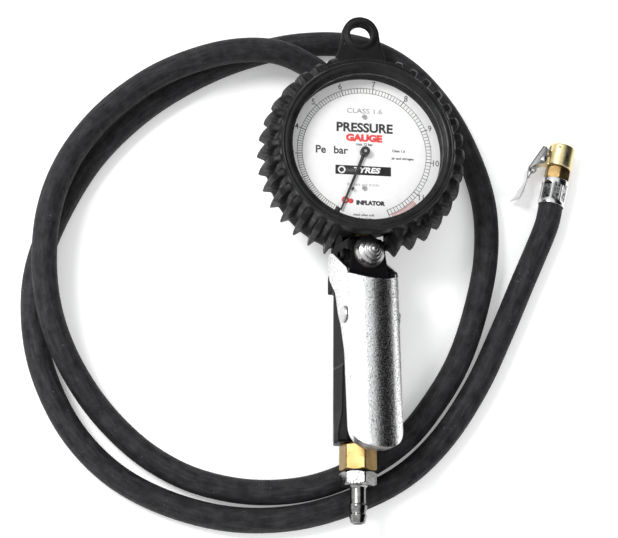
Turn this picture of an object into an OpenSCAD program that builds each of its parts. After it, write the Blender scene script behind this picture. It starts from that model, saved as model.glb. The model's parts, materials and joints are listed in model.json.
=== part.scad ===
// Tyre inflating gun with an 80 mm dial gauge, squeeze lever, 1.5 m hose and clip-on chuck.
// Frame: +Z up from the table, +Y from the air inlet towards the hanging eye, X = 0 through the gauge axis.

/* [Gauge] */
// Place of the gauge axis along the gun
gauge_y = 55; // [54.5:0.1:55.5]
// Outside diameter of the gauge case
case_d = 83; // [82.8:0.1:83.2]
// Height of the boot's back above the table
boot_back = 23; // [22.8:0.1:23.2]
// Height of the printed dial face above the boot's back
dial_rise = 19; // [18.5:0.1:19.4]
// Thickness of the clear lens
lens_t = 2; // [1.6:0.1:2]
// Angle of the pointer at rest, counter-clockwise from +X
pointer_rest = 248.5; // [248:0.5:249]
// Length of the pointer from its axis to its tip
pointer_len = 34; // [33:0.5:34.5]

/* [Rubber boot] */
// Outside diameter over the fins
boot_d = 108; // [106:0.5:109]
// Outside diameter of the boot's wall, without fins
boot_wall_d = 93; // [92:0.5:94]
// Width of one fin
fin_w = 4.6; // [3.5:0.1:5]
// Distance of the hanging eye from the gauge axis
eye_y = 68.5; // [68:0.1:69]
// Diameter of the hanging eye
eye_d = 11; // [9:0.5:12]

/* [Grip and lever] */
// Turn of the grip against the gauge, about the gun's long axis
grip_turn = 12; // [11:0.5:12.5]
// Depth of the grip behind the inlet axis
grip_back = 23.2; // [23:0.1:23.4]
// Width of the grip between the lever's ears
grip_w = 21; // [20.5:0.1:21.5]
// Width over the lever's ears
lever_w = 28; // [27.8:0.1:28.4]
// Sheet thickness of the lever
lever_t = 1.6; // [1.4:0.1:1.8]
// Diameter of the lever's pivot pin
pivot_d = 5; // [4.5:0.1:5.5]

/* [Inlet] */
// Size across flats of the inlet hexagons
inlet_af = 17; // [16.5:0.1:17.5]
// Outside diameter of the hose tail
tail_d = 8.2; // [7.8:0.1:8.4]

/* [Hose and chuck] */
// Outside diameter of the hose
hose_d = 13; // [12.8:0.1:13]
// Outside diameter of the chuck body
chuck_d = 14.2; // [13.8:0.1:14.2]
// Diameter of the chuck's mouth
mouth_d = 8.2; // [8:0.1:8.4]

/* [Hidden] */
$fn = 64;

// Heights in the gauge stack
case_r = case_d / 2;
case_back = boot_back + 2.5;
dial_z = boot_back + dial_rise;
rim_z = boot_back + 25;
lens_z = rim_z + 0.6;
flange_z = lens_z + lens_t;
front_z = boot_back + 33;
stem_z = boot_back + 7;

// The grip's own frame: x across, y along, z towards the lever, turned about the inlet axis
axis_z = grip_back * cos(grip_turn) + 2.5 * sin(grip_turn);
valve_y = 3.3;
neck_top = 12;
neck_front = 15;
grip_end = -94;
pivot_y = -31;
pivot_h = 16.5;
bar_y = 1.8;
bar_h = -3.5;
bar_r = 1.8;

// Inlet stations along Y
hex_end = grip_end - 13.5;
nut_start = hex_end - 0.6;
nut_end = nut_start - 7;
tail_end = -134;

// Outlet below the gauge: place, height and turn to the right of +Y
outlet_y = 24;
outlet_z = 13.5;
outlet_turn = -15;

// Chuck: start of its ferrule on the table and its turn
chuck_x = 107.3;
chuck_y = 41.5;
chuck_z = 7.6;
chuck_turn = -12.6;

// Points that the hose follows, from the outlet to the chuck
HOSE = [[1, 28, 13.5], [6, 46, 13.5], [6, 64, 13.5], [1, 82, 13.8], [-10, 98, 15], [-26, 110, 17.5],
    [-46, 116, 19.8], [-71, 113.5, 20.4], [-98, 103, 20], [-119, 89, 19.6], [-137, 71, 19.6],
    [-151, 49, 20], [-159, 25, 20.2], [-161, -1, 20], [-158, -26, 18.6], [-150, -48, 14.6],
    [-137, -69, 9.4], [-121, -87, 6.9], [-102, -102, 6.6], [-79, -112.5, 6.6], [-51, -117, 6.6],
    [-22, -114, 6.6], [5, -103, 6.6], [27.5, -87, 6.6], [44.5, -65.5, 6.6], [57, -43, 6.6],
    [66, -16, 6.6], [71.5, 12, 6.6], [71, 40, 6.6], [63, 67, 6.6], [49, 93, 6.6], [28, 115, 6.6],
    [2, 126, 6.6], [-27, 125.5, 6.6], [-56, 117.5, 6.6], [-84, 104, 6.6], [-112, 84, 6.6],
    [-136, 58, 6.6], [-153, 28, 6.6], [-163.5, -2, 6.6], [-165, -30, 6.6], [-159, -59, 6.6],
    [-144, -88, 6.6], [-122, -110, 6.6], [-94, -124, 6.6], [-62, -131, 6.6], [-30, -129.5, 6.6],
    [0, -120.5, 6.6], [26.5, -106.5, 6.6], [47.5, -86, 6.6], [65.5, -58.5, 6.6], [79, -30, 6.6],
    [91, -2, 6.6], [99.3, 17, 6.7], [105, 31.3, 7.4], [107.3, 41.5, 7.6], [110.1, 54.2, 7.6]];
HOSE_SIDES = 10;

module grip_frame() {
    translate([0, 0, axis_z])
        rotate([0, grip_turn, 0])
            children();
}

module outlet_frame() {
    translate([0, outlet_y, outlet_z])
        rotate([0, 0, outlet_turn])
            children();
}

module chuck_frame() {
    translate([chuck_x, chuck_y, chuck_z])
        rotate([0, 0, chuck_turn])
            children();
}

module at_gauge(z) {
    translate([0, gauge_y, z])
        children();
}

// A cylinder that runs along Y from y0 to y1
module rod_y(y0, y1, r) {
    translate([0, y0, 0])
        rotate([-90, 0, 0])
            cylinder(h = y1 - y0, r = r);
}

// A hexagonal bar that runs along Y from y0 to y1
module hex_y(y0, y1, af) {
    translate([0, y0, 0])
        rotate([-90, 0, 0])
            linear_extrude(height = y1 - y0)
                circle(d = af / cos(30), $fn = 6);
}

// A side outline, given as [y, z] points, made w wide about X = 0
module side_prism(points, w) {
    translate([-w / 2, 0, 0])
        rotate([90, 0, 90])
            linear_extrude(height = w)
                polygon(points);
}

module ring(r_out, r_in, h) {
    difference() {
        cylinder(h = h, r = r_out);
        translate([0, 0, -1])
            cylinder(h = h + 2, r = r_in);
    }
}

// Gauge head -----------------------------------------------------------------

module boot_fin(a) {
    r1 = boot_d / 2;
    rotate([0, 0, a])
        rotate([90, 0, 0])
            translate([0, 0, -fin_w / 2])
                linear_extrude(height = fin_w)
                    polygon([[44, boot_back + 2], [r1 - 1, boot_back + 2], [r1, boot_back + 4],
                        [r1, boot_back + 9], [r1 - 3.5, front_z - 6], [r1 - 5.5, front_z - 3.5],
                        [44, front_z - 3.5]]);
}

module rubber_boot() {
    wall = boot_wall_d / 2;
    color("dimgray")
        difference() {
            union() {
                at_gauge(0)
                    rotate_extrude($fn = 96)
                        polygon([[36, boot_back], [wall - 2.5, boot_back], [wall, boot_back + 2.5],
                            [wall, front_z - 9], [wall - 0.8, front_z - 4], [44.6, front_z - 0.8],
                            [43.4, front_z], [41, front_z], [38.9, front_z - 2], [38.9, front_z - 3.9],
                            [case_r + 1.3, front_z - 3.9], [case_r + 1.3, boot_back + 2.3],
                            [36, boot_back + 2.3]]);
                at_gauge(0)
                    for (i = [0:35])
                        if ((i < 8 || i > 10) && (i < 26 || i > 28))
                            boot_fin(i * 10);
                // hanging tab with its raised eye rim
                difference() {
                    at_gauge(boot_back + 1)
                        linear_extrude(height = 7)
                            polygon([[-16, 42], [-14.5, 52], [-10.4, 65], [-9.6, 72.5], [-6.4, 77],
                                [-2.5, 79], [2.5, 79], [6.4, 77], [9.6, 72.5], [10.4, 65],
                                [14.5, 52], [16, 42]]);
                    at_gauge(0)
                        cylinder(h = front_z, r = case_r + 1.3);
                }
                at_gauge(boot_back + 8)
                    translate([0, eye_y, 0])
                        cylinder(h = 1.4, d = eye_d + 5.4);
            }
            at_gauge(boot_back - 1)
                translate([0, eye_y, 0])
                    cylinder(h = 20, d = eye_d);
            // notch for the neck of the gun
            translate([-13, 0, boot_back - 1])
                cube([26, 22, 28]);
        }
}

module gauge_case() {
    color("black")
        difference() {
            at_gauge(case_back)
                cylinder(h = rim_z - case_back, r = case_r, $fn = 96);
            at_gauge(case_back + 1.5)
                cylinder(h = 40, r = case_r - 1.5, $fn = 96);
            translate([0, 0, stem_z])
                rod_y(0, 30, 4.05);
        }
    // posts that carry the dial
    color("black")
        for (s = [-1, 1])
            at_gauge(case_back + 1)
                translate([0, s * 19.2, 0])
                    difference() {
                        cylinder(h = dial_z - 0.6 - case_back - 1, r = 2.6);
                        translate([0, 0, dial_z - 6 - case_back])
                            cylinder(h = 8, r = 1.01);
                    }
}

module bezel_ring() {
    color("black")
        at_gauge(0)
            rotate_extrude($fn = 96)
                polygon([[case_r - 1.7, flange_z], [case_r - 1.7, flange_z + 1.2],
                    [case_r - 1.5, flange_z + 1.4],
                    [case_r + 0.6, flange_z + 1.4], [case_r + 1, flange_z + 1], [case_r + 1, rim_z - 4],
                    [case_r + 0.02, rim_z - 4], [case_r + 0.02, flange_z]]);
}

module lens_gasket() {
    color("dimgray")
        at_gauge(rim_z)
            ring(case_r, case_r - 1.6, 0.6, $fn = 96);
}

module lens() {
    color("lightcyan")
        at_gauge(lens_z)
            cylinder(h = lens_t, r = case_r - 0.1, $fn = 96);
}

module dial_plate() {
    color("white")
        at_gauge(dial_z - 0.6)
            difference() {
                cylinder(h = 0.6, r = case_r - 1.7, $fn = 96);
                translate([0, 0, -1])
                    cylinder(h = 3, r = 2.4);
                for (s = [-1, 1])
                    translate([0, s * 19.2, -1])
                        cylinder(h = 3, r = 1.1);
            }
}

module dial_screw(s) {
    color("dimgray")
        at_gauge(dial_z)
            translate([0, s * 19.2, 0])
                difference() {
                    union() {
                        cylinder(h = 0.7, r = 1.3);
                        translate([0, 0, -4.5])
                            cylinder(h = 4.6, r = 1);
                    }
                    translate([-2, -0.2, 0.35])
                        cube([4, 0.4, 1]);
                }
}

module dial_screw_upper() {
    dial_screw(1);
}

module dial_screw_lower() {
    dial_screw(-1);
}

module stop_pin() {
    color("black")
        at_gauge(dial_z)
            rotate([0, 0, pointer_rest + 4.4])
                translate([21, 0, 0])
                    cylinder(h = 2.6, r = 0.6);
}

module pointer() {
    color("black")
        at_gauge(dial_z + 1.2)
            rotate([0, 0, pointer_rest])
                difference() {
                    union() {
                        linear_extrude(height = 0.6)
                            polygon([[-2, -0.9], [-2, 0.9], [0, 0.9], [pointer_len, 0.42],
                                [pointer_len, -0.42], [0, -0.9]]);
                        cylinder(h = 2.4, r = 2.4);
                    }
                    translate([0, 0, -1])
                        cylinder(h = 5, r = 0.82);
                }
}

module bourdon_tube() {
    color("goldenrod")
        at_gauge(boot_back + 8.2)
            rotate([0, 0, 276])
                rotate_extrude(angle = 244)
                    translate([28.5, -3.8])
                        difference() {
                            square([3.2, 7.6]);
                            translate([0.5, 0.5])
                                square([2.2, 6.6]);
                        }
    color("goldenrod")
        at_gauge(boot_back + 4.2)
            rotate([0, 0, 159.5])
                translate([28, -0.05, 0])
                    cube([4.2, 3, 8]);
    // post under the end of the drag link
    color("goldenrod")
        at_gauge(boot_back + 11.9)
            translate([-27.88, 8.82, 0])
                cylinder(h = 2.7, r = 0.8);
}

module gauge_socket() {
    color("gold") {
        difference() {
            translate([-7, 20, case_back + 1.6])
                cube([14, 12.5, 8]);
            translate([0, 0, stem_z])
                rod_y(8, 27, 1.5);
            // seat for the fixed end of the tube
            at_gauge(boot_back + 3.9)
                rotate([0, 0, 275.9])
                    translate([28.4, -0.1, 0])
                        cube([3.4, 10, 8.2]);
        }
        difference() {
            translate([0, 0, stem_z]) {
                rod_y(8.4, 20, 4);
                hex_y(12.5, 13.4, 11);
            }
            translate([0, 0, stem_z])
                rod_y(8, 21, 1.5);
        }
    }
}

module movement_back_plate() {
    color("khaki")
        difference() {
            union() {
                at_gauge(case_back + 9.6)
                    linear_extrude(height = 1)
                        polygon([[-6, -34], [6, -34], [7.5, -20], [8, 8], [-8, 8], [-20, -4], [-20, -16],
                            [-7.5, -20]]);
            }
            at_gauge(case_back)
                translate([0, -19.2, 0])
                    cylinder(h = 20, r = 3);
            at_gauge(case_back)
                cylinder(h = 20, r = 0.84);
            at_gauge(case_back)
                translate([-14.5, -10.1, 0])
                    cylinder(h = 20, r = 1.04);
        }
}

module movement_front_plate() {
    color("khaki")
        difference() {
            at_gauge(case_back + 13.6)
                linear_extrude(height = 0.8)
                    polygon([[8, -9], [8, 8], [-8, 8], [-20, -4], [-20, -16], [-8, -16]]);
            at_gauge(case_back)
                cylinder(h = 20, r = 0.84);
            at_gauge(case_back)
                translate([-14.5, -10.1, 0])
                    cylinder(h = 20, r = 1.04);
        }
}

module pillar(x, y) {
    color("gold")
        at_gauge(case_back + 10.6)
            translate([x, y, 0])
                cylinder(h = 3, r = 1.2);
}

module movement_pillar_left() {
    pillar(-6.4, 6.2);
}

module movement_pillar_right() {
    pillar(6, -7);
}

module toothed_sector() {
    color("gold")
        at_gauge(case_back + 11.4)
            translate([-14.5, -10.1, 0]) {
                difference() {
                    linear_extrude(height = 0.8)
                        union() {
                            circle(r = 2.4);
                            intersection() {
                                circle(r = 15.9);
                                polygon([[0, 0], [30, 0.8], [30, 25.5]]);
                            }
                            rotate([0, 0, 75])
                                translate([0, -1.2])
                                    square([9.5, 2.4]);
                        }
                    // lightening window behind the toothed rim
                    linear_extrude(height = 0.8)
                        intersection() {
                            circle(r = 12.5);
                            polygon([[4.5, 1.2], [30, 4.4], [30, 21.5]]);
                        }
                    rotate([0, 0, 75])
                        translate([8, 0, -1])
                            cylinder(h = 3, r = 0.7);
                }
                translate([0, 0, -2])
                    cylinder(h = 5, r = 1);
            }
}

module pinion_arbor() {
    color("silver")
        at_gauge(0) {
            translate([0, 0, case_back + 9.4])
                cylinder(h = dial_z + 3.4 - case_back - 9.4, r = 0.8);
            translate([0, 0, case_back + 11.2])
                cylinder(h = 1.4, r = 1.4);
        }
}

module drag_link() {
    color("gold")
        at_gauge(case_back + 12.6)
            translate([-12.43, -2.37, 0])
                union() {
                    linear_extrude(height = 0.7)
                        union() {
                            circle(r = 1.2);
                            rotate([0, 0, 144.1])
                                translate([0, -0.8])
                                    square([19.5, 1.6]);
                        }
                    translate([0, 0, -1.6])
                        cylinder(h = 1.7, r = 0.3);
                }
}

function spiral(r0, r1, turns, n) =
    [for (i = [0:n]) let (a = 360 * turns * i / n, r = r0 + (r1 - r0) * i / n) [r * cos(a), r * sin(a)]];

module hairspring() {
    color("orange")
        at_gauge(case_back + 12.9)
            linear_extrude(height = 0.5)
                polygon(concat(spiral(1.2, 5.2, 3, 60), [for (i = [60:-1:0]) spiral(1.4, 5.4, 3, 60)[i]]));
}

module stem_seal() {
    color("brown")
        translate([0, neck_top, stem_z])
            rotate([-90, 0, 0])
                ring(5.4, 4.02, 0.5);
}

// Gun body, lever and valve ----------------------------------------------------

module grip_blank() {
    half = grip_w / 2;
    intersection() {
        // cross-section, rounder at the back than at the front
        translate([0, grip_end, 0])
            rotate([-90, 0, 0])
                linear_extrude(height = 90)
                    polygon([[-9, -9], [9, -9], [13.2, -6], [13.2, 0], [9.5, 11], [6, 19],
                        [2.5, grip_back], [-2.5, grip_back], [-6, 19], [-9.5, 11], [-13.2, 0], [-13.2, -6]]);
        // plan, flared at the inlet end
        translate([0, 0, -30])
            linear_extrude(height = 60)
                polygon([[-13, grip_end], [13, grip_end], [13, -89], [11.4, -78], [11.2, -55],
                    [half, -54], [half, 0], [-half, 0], [-half, -54], [-11.2, -55],
                    [-11.4, -78], [-13, -89]]);
        // side, with a full belly at the back
        side_prism([[grip_end, 9], [grip_end, -8], [-86, -14], [-74, -21], [-62, -grip_back],
            [-34, -grip_back], [-18, -20.5], [-6, -17], [0, -17], [0, 9]], 40);
    }
}

module gun_body() {
    half = grip_w / 2;
    color([0.12, 0.12, 0.13])
        difference() {
            union() {
                grip_frame() {
                    grip_blank();
                    // neck under the valve bonnet
                    translate([0, 0, -17])
                        linear_extrude(height = 17 + neck_front)
                            polygon([[-half, -13], [half, -13], [half, -5], [8.8, 6], [8.8, neck_top - 2],
                                [-8.8, neck_top - 2], [-8.8, 6], [-half, -5]]);
                    translate([-8.8, 6, -17])
                        cube([17.6, neck_top - 6, 28]);
                    // lug that carries the pivot pin
                    side_prism([[pivot_y - 9, 8], [pivot_y + 9, 8], [pivot_y + 5, pivot_h + 4],
                        [pivot_y - 5, pivot_h + 4]], grip_w);
                    // outlet boss behind the gauge
                    translate([-7, 6, -17])
                        cube([18, outlet_y - 6, 12.5]);
                }
            }
            grip_frame() {
                // valve bore and the bonnet's thread
                translate([0, valve_y, 0])
                    cylinder(h = 30, r = 4.05);
                translate([0, valve_y, 11.2])
                    cylinder(h = 30, r = 6.02);
                // window for the lever's cross bar
                translate([-20, -1.2, -7])
                    cube([40, 8.6, 11.6]);
                // pivot pin
                translate([-20, pivot_y, pivot_h])
                    rotate([0, 90, 0])
                        cylinder(h = 40, r = pivot_d / 2 + 0.02);
                // inlet thread and air way
                rod_y(grip_end - 1, grip_end + 12, 6.52);
                rod_y(grip_end + 11, -16, 3);
            }
            translate([0, 0, stem_z])
                rod_y(8.2, 20, 4.02);
            outlet_frame()
                rod_y(-8, 4, 4.02);
        }
}

// Lever frame: y along the lever, z out of its face, origin in the pivot axis
module lever_frame() {
    grip_frame()
        translate([0, pivot_y, pivot_h])
            rotate([-4, 0, 0])
                children();
}

module lever_section(half, crest) {
    r = (half * half + crest * crest) / (2 * crest);
    intersection() {
        translate([0, -(5 + crest - r)])
            circle(r = r, $fn = 128);
        translate([-half, -30])
            square([2 * half, 25.1]);
    }
    translate([-half, -5])
        square([2 * half, 40]);
}

module lever() {
    half = lever_w / 2;
    color("gainsboro")
        difference() {
            lever_frame()
                intersection() {
                    translate([0, -72, 0])
                        rotate([-90, 0, 0])
                            linear_extrude(height = 120)
                                difference() {
                                    lever_section(half, 6.4);
                                    difference() {
                                        lever_section(half - lever_t, 6.4 - lever_t * 0.6);
                                        translate([-40, -34])
                                            square([80, 24.4]);
                                    }
                                }
                    // ears above the pivot and narrow flanges below it
                    side_prism([[-71, 12], [-71, 2], [-64, 0.6], [-19, -1.5], [-4, -5.5], [3, -9],
                        [15, -12], [24, -20], [30, -21.6], [36, -21.6], [38, -19.5], [37.6, -15.5],
                        [33, -10], [19, 12]], 2 * half + 4);
                    // plan of the face: hollowed top edge and rounded tongue
                    translate([0, 0, -40])
                        linear_extrude(height = 60)
                            difference() {
                                polygon([[-20, 50], [-20, -52], [-13.6, -62], [-9.5, -67], [-4, -69.6],
                                    [4, -69.6], [9.5, -67], [13.6, -62], [20, -52], [20, 50]]);
                                translate([-half + lever_t, 19])
                                    square([2 * half - 2 * lever_t, 40]);
                            }
                }
            grip_frame() {
                translate([-30, pivot_y, pivot_h])
                    rotate([0, 90, 0])
                        cylinder(h = 60, r = pivot_d / 2 + 0.06);
                translate([-30, bar_y, bar_h])
                    rotate([0, 90, 0])
                        cylinder(h = 60, r = bar_r + 0.02);
            }
        }
}

module lever_pin() {
    half = lever_w / 2;
    color("silver")
        grip_frame()
            translate([0, pivot_y, pivot_h])
                rotate([0, 90, 0]) {
                    translate([0, 0, -half - 0.6])
                        cylinder(h = lever_w + 1.2, r = pivot_d / 2);
                    for (s = [-1, 1])
                        translate([0, 0, s > 0 ? half + 0.4 : -half - 1.8])
                            cylinder(h = 1.4, r = 4.5);
                }
}

module lever_crossbar() {
    half = lever_w / 2;
    color("silver")
        grip_frame()
            translate([-half, bar_y, bar_h])
                rotate([0, 90, 0])
                    cylinder(h = lever_w, r = bar_r);
}

module valve_spool() {
    color("gold")
        grip_frame()
            translate([0, valve_y, 0])
                rotate_extrude()
                    polygon([[0, -1.1], [3.4, -1.1], [4, -0.5], [4, 5.2], [2.9, 5.2], [2.9, 7], [4, 7],
                        [4, 10.2], [0, 10.2]]);
}

module spool_ring() {
    color("dimgray")
        grip_frame()
            translate([0, valve_y, 6.1])
                rotate_extrude()
                    translate([3.47, 0])
                        circle(r = 0.53, $fn = 24);
}

// One ring of the spring wire, k steps along its helix
function coil_ring(k, steps, turns, r, z0, z1, wire) =
    let (a = 360 * turns * k / steps, c = [r * cos(a), r * sin(a), z0 + (z1 - z0) * k / steps],
        out = [cos(a), sin(a), 0])
    [for (j = [0:5]) c + wire * (cos(60 * j) * out + sin(60 * j) * [0, 0, 1])];

module valve_spring() {
    n = 72;
    points = [for (k = [0:n]) each coil_ring(k, n, 4.5, 3.2, 10.75, 18.65, 0.45)];
    sides = [for (k = [0:n - 1], j = [0:5]) let (a = k * 6 + j, b = k * 6 + (j + 1) % 6)
        each [[a, b, b + 6], [a, b + 6, a + 6]]];
    color("silver")
        grip_frame()
            translate([0, valve_y, 0])
                polyhedron(points = points, faces = concat([[for (j = [5:-1:0]) j]], sides,
                    [[for (j = [0:5]) n * 6 + j]]), convexity = 8);
}

module bonnet_washer() {
    color("peru")
        grip_frame()
            translate([0, valve_y, neck_front])
                ring(8.3, 6.04, 0.6);
}

module valve_bonnet() {
    f = neck_front + 0.6;
    color("lightgray")
        grip_frame()
            translate([0, valve_y, 0])
                rotate_extrude()
                    polygon([[0, 19.2], [4.5, 19.2], [4.5, 11.3], [6, 11.3], [6, f], [8, f], [8, f + 1],
                        [7.6, f + 1.4], [6.9, f + 2.8], [5.6, f + 3.7], [5, f + 3.8], [5, f + 5],
                        [4.6, f + 5.4], [3.6, f + 5.6], [3.3, f + 5.7], [3.3, f + 7], [2.9, f + 7.4],
                        [1.3, f + 7.5], [1.3, f + 8.2], [0, f + 8.4]]);
}

// Inlet --------------------------------------------------------------------------

module inlet_bushing() {
    color("gold")
        grip_frame()
            difference() {
                union() {
                    rod_y(grip_end, grip_end + 11, 6.5);
                    intersection() {
                        hex_y(hex_end, grip_end, inlet_af);
                        rod_y(hex_end, grip_end, inlet_af * 0.563);
                    }
                }
                rod_y(hex_end - 1, hex_end + 10, 5.02);
                rod_y(hex_end + 9, grip_end + 12, 3);
            }
}

module inlet_filter() {
    color("peru")
        grip_frame()
            rod_y(hex_end + 7.6, hex_end + 9.9, 4.9);
}

module inlet_seal() {
    color("black")
        grip_frame()
            translate([0, nut_start, 0])
                rotate([-90, 0, 0])
                    ring(inlet_af / 2, 5.02, 0.6);
}

module hose_tail() {
    r = tail_d / 2;
    color("silver")
        grip_frame()
            difference() {
                union() {
                    rod_y(nut_start, hex_end + 7.5, 5);
                    intersection() {
                        hex_y(nut_end, nut_start, inlet_af);
                        rod_y(nut_end, nut_start, inlet_af * 0.563);
                    }
                    translate([0, nut_end, 0])
                        rotate([90, 0, 0])
                            rotate_extrude()
                                polygon([[0, -0.5], [r, -0.5], [r, 9.4],
                                    [r + 0.5, 9.8], [r - 0.1, 14], [r + 0.5, 14.4], [r - 0.4, 18.4],
                                    [r - 1, nut_end - tail_end], [0, nut_end - tail_end]]);
                }
                rod_y(tail_end - 1, hex_end + 8, 2.5);
            }
}

// Outlet, hose and chuck -----------------------------------------------------------

module outlet_fitting() {
    color("gold")
        outlet_frame()
            difference() {
                union() {
                    rod_y(-7, 2.2, 4);
                    hex_y(2.1, 4, 12);
                }
                rod_y(-8, 5, 2);
            }
}

module outlet_ferrule() {
    color("silver")
        outlet_frame()
            translate([0, 4, 0])
                rotate([-90, 0, 0])
                    ring(7.3, hose_d / 2 + 0.1, 15);
}

function ring_dir(i) =
    let (n = len(HOSE), a = HOSE[max(i - 1, 0)], b = HOSE[min(i + 1, n - 1)], d = b - a) d / norm(d);

function hose_ring(i) =
    let (d = ring_dir(i), s = cross([0, 0, 1], d), u = s / norm(s), v = cross(d, u))
    [for (k = [0:HOSE_SIDES - 1]) let (a = 360 * k / HOSE_SIDES)
        HOSE[i] + hose_d / 2 * (cos(a) * u + sin(a) * v)];

module hose() {
    n = len(HOSE);
    m = HOSE_SIDES;
    points = [for (i = [0:n - 1]) each hose_ring(i)];
    sides = [for (i = [0:n - 2], k = [0:m - 1]) let (a = i * m + k, b = i * m + (k + 1) % m)
        each [[a, b + m, b], [a, a + m, b + m]]];
    color("black")
        polyhedron(points = points, faces = concat([[for (k = [0:m - 1]) k]], sides,
            [[for (k = [m - 1:-1:0]) (n - 1) * m + k]]), convexity = 8);
}

module end_ferrule() {
    color("silver")
        chuck_frame()
            difference() {
                rod_y(0, 14.5, 7.2);
                rod_y(-1, 13.1, hose_d / 2 + 0.1);
                rod_y(12, 16, 3.52);
            }
}

module chuck_collar() {
    color("gold")
        chuck_frame()
            difference() {
                union() {
                    rod_y(13.2, 15, 3.5);
                    hex_y(14.5, 21.5, 12.4);
                    rod_y(21.4, 24.5, 4.5);
                }
                rod_y(13, 25, 1.5);
            }
}

module chuck_body() {
    color("gold")
        chuck_frame()
            difference() {
                union() {
                    rod_y(21.5, 34.5, chuck_d / 2);
                    // lug for the clip
                    translate([-11.4, 21.5, -3])
                        cube([7.4, 4.5, 6]);
                }
                rod_y(21, 24.6, 4.52);
                rod_y(24.5, 28, mouth_d / 2 + 0.5);
                rod_y(27.9, 40, mouth_d / 2);
                // slot for the clip's jaw
                translate([-9, 28.6, -2.7])
                    cube([6, 4.2, 5.4]);
                translate([-9.5, 23.7, -5])
                    cylinder(h = 10, r = 1.02);
            }
}

module chuck_seal() {
    color("dimgray")
        chuck_frame()
            translate([0, 25.4, 0])
                rotate([-90, 0, 0])
                    ring(mouth_d / 2 + 0.48, 1.6, 2.6);
}

module chuck_depressor() {
    color("gold")
        chuck_frame()
            difference() {
                union() {
                    rod_y(24.6, 25.4, mouth_d / 2 + 0.48);
                    rod_y(25.3, 28, 0.9);
                }
                for (s = [-1, 1])
                    translate([s * 2.4, 24, 0])
                        rotate([-90, 0, 0])
                            cylinder(h = 2, r = 0.7);
            }
}

module clip_lever() {
    cheek = [[-9, 30.9], [-11.2, 30.9], [-14, 24], [-17.2, 16], [-16.6, 10], [-15.4, 10], [-14.8, 16],
        [-11.6, 19.8], [-8.2, 22.2], [-7.6, 25]];
    color("silver")
        chuck_frame()
            difference() {
                union() {
                    for (z = [-4.1, 3.4])
                        translate([0, 0, z])
                            linear_extrude(height = 0.7)
                                polygon(cheek);
                    // back of the sheet, thumb tail and jaw
                    translate([0, 0, -4.1])
                        linear_extrude(height = 8.2)
                            polygon([[-11.2, 30.9], [-14, 24], [-17.2, 16], [-16.6, 10], [-17.6, 2],
                                [-19, -2], [-18.3, -2.2], [-16.9, 2], [-15.8, 10], [-16.4, 16],
                                [-13.3, 23.7], [-10.5, 30.9]]);
                    translate([0, 0, -2.3])
                        linear_extrude(height = 4.6)
                            polygon([[-11.2, 30.9], [-11, 30], [-5.2, 30], [-5.2, 30.9]]);
                    translate([0, 0, -4.1])
                        linear_extrude(height = 8.2)
                            polygon([[-11.2, 30.9], [-11, 30], [-9, 30], [-9, 30.9]]);
                }
                translate([-9.5, 23.7, -6])
                    cylinder(h = 12, r = 1.08);
            }
}

module clip_pin() {
    color("silver")
        chuck_frame()
            translate([-9.5, 23.7, 0]) {
                translate([0, 0, -4.7])
                    cylinder(h = 9.4, r = 1);
                for (s = [-1, 1])
                    translate([0, 0, s > 0 ? 4.4 : -5])
                        cylinder(h = 0.6, r = 1.6);
            }
}

module clip_spring() {
    color("silver")
        chuck_frame()
            translate([0, 0, -1])
                linear_extrude(height = 2)
                    polygon([[-12.1, 20.5], [-12.5, 20.5], [-12.9, 14], [-15.2, 9], [-14.8, 8.9],
                        [-12.4, 14]]);
}

rubber_boot();
gauge_case();
bezel_ring();
lens_gasket();
lens();
dial_plate();
dial_screw_upper();
dial_screw_lower();
stop_pin();
pointer();
bourdon_tube();
gauge_socket();
movement_back_plate();
movement_front_plate();
movement_pillar_left();
movement_pillar_right();
toothed_sector();
pinion_arbor();
drag_link();
hairspring();
stem_seal();
gun_body();
lever();
lever_pin();
lever_crossbar();
valve_spool();
spool_ring();
valve_spring();
bonnet_washer();
valve_bonnet();
inlet_bushing();
inlet_filter();
inlet_seal();
hose_tail();
outlet_fitting();
outlet_ferrule();
hose();
end_ferrule();
chuck_collar();
chuck_body();
chuck_seal();
chuck_depressor();
clip_lever();
clip_pin();
clip_spring();
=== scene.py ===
"""Looks for the tyre inflating gun: dial gauge in a finned boot, squeeze lever, inlet, hose and chuck."""

import json
import math

import bmesh
import bpy
from mathutils import Matrix, Vector


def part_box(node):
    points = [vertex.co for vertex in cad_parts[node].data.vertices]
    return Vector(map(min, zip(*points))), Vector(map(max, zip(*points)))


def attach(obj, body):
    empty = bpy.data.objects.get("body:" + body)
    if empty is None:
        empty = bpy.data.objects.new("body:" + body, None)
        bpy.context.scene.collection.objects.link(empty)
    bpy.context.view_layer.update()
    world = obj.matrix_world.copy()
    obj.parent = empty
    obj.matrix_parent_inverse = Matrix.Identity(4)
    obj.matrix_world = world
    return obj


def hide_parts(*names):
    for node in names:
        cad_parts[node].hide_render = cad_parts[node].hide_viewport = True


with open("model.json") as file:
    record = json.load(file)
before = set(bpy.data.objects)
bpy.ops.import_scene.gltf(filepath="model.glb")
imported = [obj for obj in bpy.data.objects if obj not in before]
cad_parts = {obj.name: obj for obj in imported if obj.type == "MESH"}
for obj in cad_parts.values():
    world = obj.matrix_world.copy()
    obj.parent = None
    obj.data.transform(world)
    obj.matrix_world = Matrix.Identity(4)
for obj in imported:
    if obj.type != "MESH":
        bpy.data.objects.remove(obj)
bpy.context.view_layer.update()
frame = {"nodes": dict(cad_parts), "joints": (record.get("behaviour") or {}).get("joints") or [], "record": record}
NODES = frame["nodes"]
JOINTS = {j["name"]: j for j in frame["joints"]}
MOUNTS = {m["name"]: m for m in frame["record"]["mounts"]}
MM = 0.001


def axes_at(origin, x, y, z):
    """A placing matrix from an origin and three axes."""
    m = Matrix((x, y, z)).transposed().to_4x4()
    m.translation = Vector(origin)
    return m


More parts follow.
